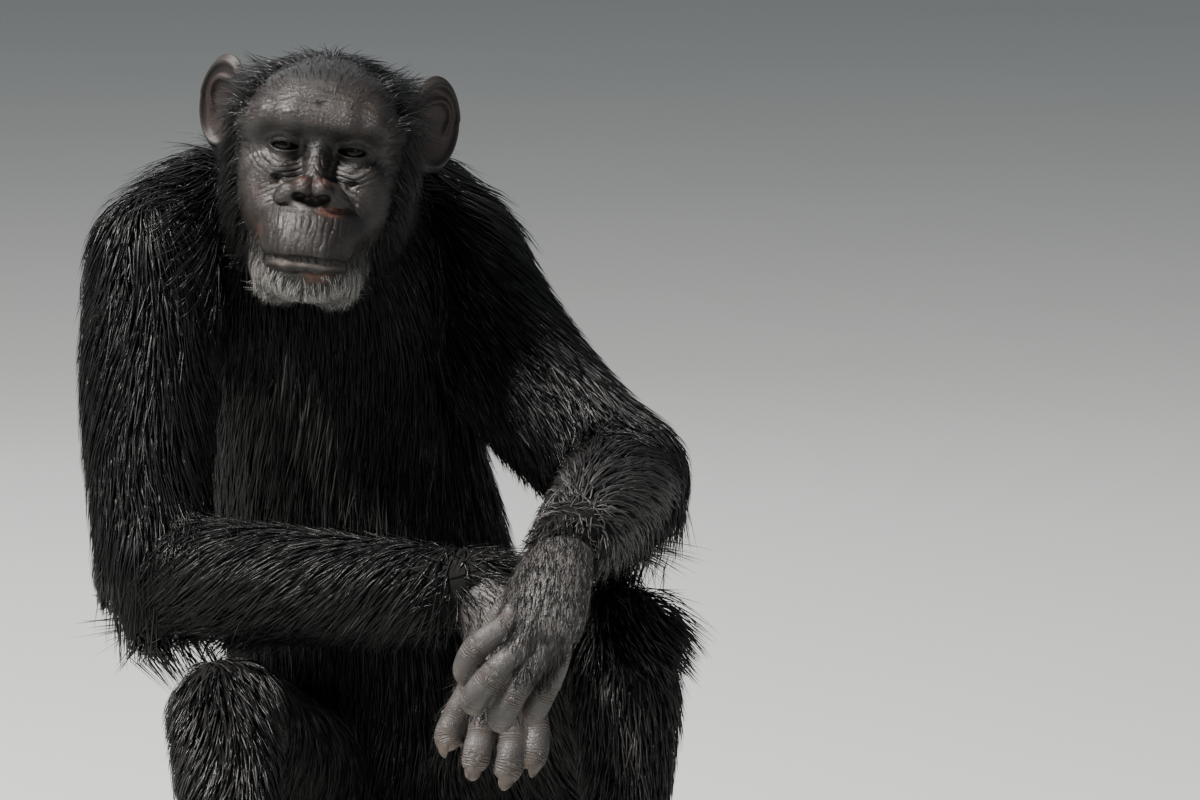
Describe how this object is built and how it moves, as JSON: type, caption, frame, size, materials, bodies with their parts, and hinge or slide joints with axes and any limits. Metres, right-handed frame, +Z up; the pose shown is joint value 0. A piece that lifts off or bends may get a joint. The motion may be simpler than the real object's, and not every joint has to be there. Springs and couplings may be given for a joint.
{
  "type": "seated chimpanzee model",
  "caption": "Life-size still model of a seated chimpanzee, knees drawn up, with one hand draped over the other in front of its lap.",
  "frame": {"origin": "middle of the flat under the rump, on the floor", "axes": "+Z up, -Y the way the animal faces, +X to the animal's left"},
  "size_m": [0.515, 0.7429, 0.7201],
  "materials": {
    "coat": "sleek black hair with a soft gloss",
    "skin": "bare wrinkled dark grey-brown skin, slightly moist on the brow and nose",
    "ear": "thin dark skin with a paler rim, reddish inside the cup",
    "eye": "wet dark brown eye"
  },
  "bodies": {
    "root": {"head": "skin", "eye_right": "eye", "eye_left": "eye", "ear_right": "ear", "ear_left": "ear", "neck": "coat", "shoulders": "coat", "chest": "coat", "pelvis": "coat", "upper_arm_right": "coat", "upper_arm_left": "coat", "forearm_right": "coat", "forearm_left": "coat", "hand_right": "skin", "hand_left": "skin", "thigh_right": "coat", "thigh_left": "coat", "shin_right": "coat", "shin_left": "coat", "foot_right": "skin", "foot_left": "skin"}
  },
  "joints": []
}
